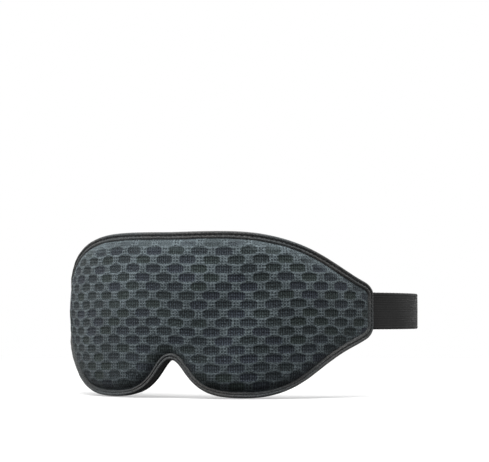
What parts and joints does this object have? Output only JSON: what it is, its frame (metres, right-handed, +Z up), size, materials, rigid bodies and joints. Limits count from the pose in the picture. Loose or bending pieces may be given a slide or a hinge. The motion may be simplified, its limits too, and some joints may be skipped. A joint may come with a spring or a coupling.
{
  "type": "contoured sleep eye mask",
  "caption": "Contoured sleep mask: padded wrap shell with knit front, moulded cushion with eye cups, nose flap, bound edge and adjustable elastic head strap.",
  "frame": {"origin": "centre of the wearer's head at the height of the strap's middle: the axis that the mask is wrapped about", "axes": "+Z up, -Y out of the knitted front, +X towards the wearer's left, along the mask's width"},
  "size_m": [0.1958, 0.1722, 0.0878],
  "materials": {
    "front_knit": "brick-patterned jacquard knit, matt with a soft sheen",
    "foam": "open-cell foam, matt",
    "lining": "fine tricot, matt",
    "smooth_jersey": "brushed jersey on moulded foam, soft matt",
    "binding_tape": "knitted stretch binding, matt",
    "thread": "polyester sewing thread",
    "elastic": "woven elastic webbing with fine ribs, matt",
    "black_plastic": "moulded acetal, satin"
  },
  "bodies": {
    "mask": {"front_cover": "front_knit", "foam_core": "foam", "inner_lining": "lining", "edge_binding": "binding_tape", "binding_thread_front": "thread", "binding_thread_back": "thread", "face_cushion": "smooth_jersey", "nose_flap_left": "smooth_jersey", "nose_flap_right": "smooth_jersey", "nose_flap_seam": "thread", "short_strap_root": "elastic", "long_strap_root": "elastic"},
    "strap_sides": {"short_strap_side": "elastic", "long_strap_side": "elastic"},
    "strap_back": {"short_strap_back": "elastic", "long_strap_back": "elastic", "long_strap_return": "elastic", "strap_ring": "black_plastic", "ring_bartack": "thread"},
    "slider": {"strap_slider": "black_plastic", "long_strap_end_loop": "elastic", "slider_bartack": "thread"}
  },
  "joints": [
    {"name": "strap_swing", "type": "hinge", "parent": "mask", "child": "strap_sides", "pos_m": [0, -0.0357, 0], "axis": [1, 0, 0], "range_deg": [-30, 30], "stiffness_Nm_per_rad": 0.3, "deforming": ["short_strap_root", "long_strap_root"]},
    {"name": "strap_stretch", "type": "slide", "parent": "strap_sides", "child": "strap_back", "axis": [0, 1, 0], "range_m": [0, 0.03], "stiffness_N_per_m": 80, "deforming": ["short_strap_side", "long_strap_side"]},
    {"name": "slider_slide", "type": "slide", "parent": "strap_back", "child": "slider", "axis": [1, 0, 0], "range_m": [0, 0.04], "deforming": ["long_strap_return"]}
  ]
}
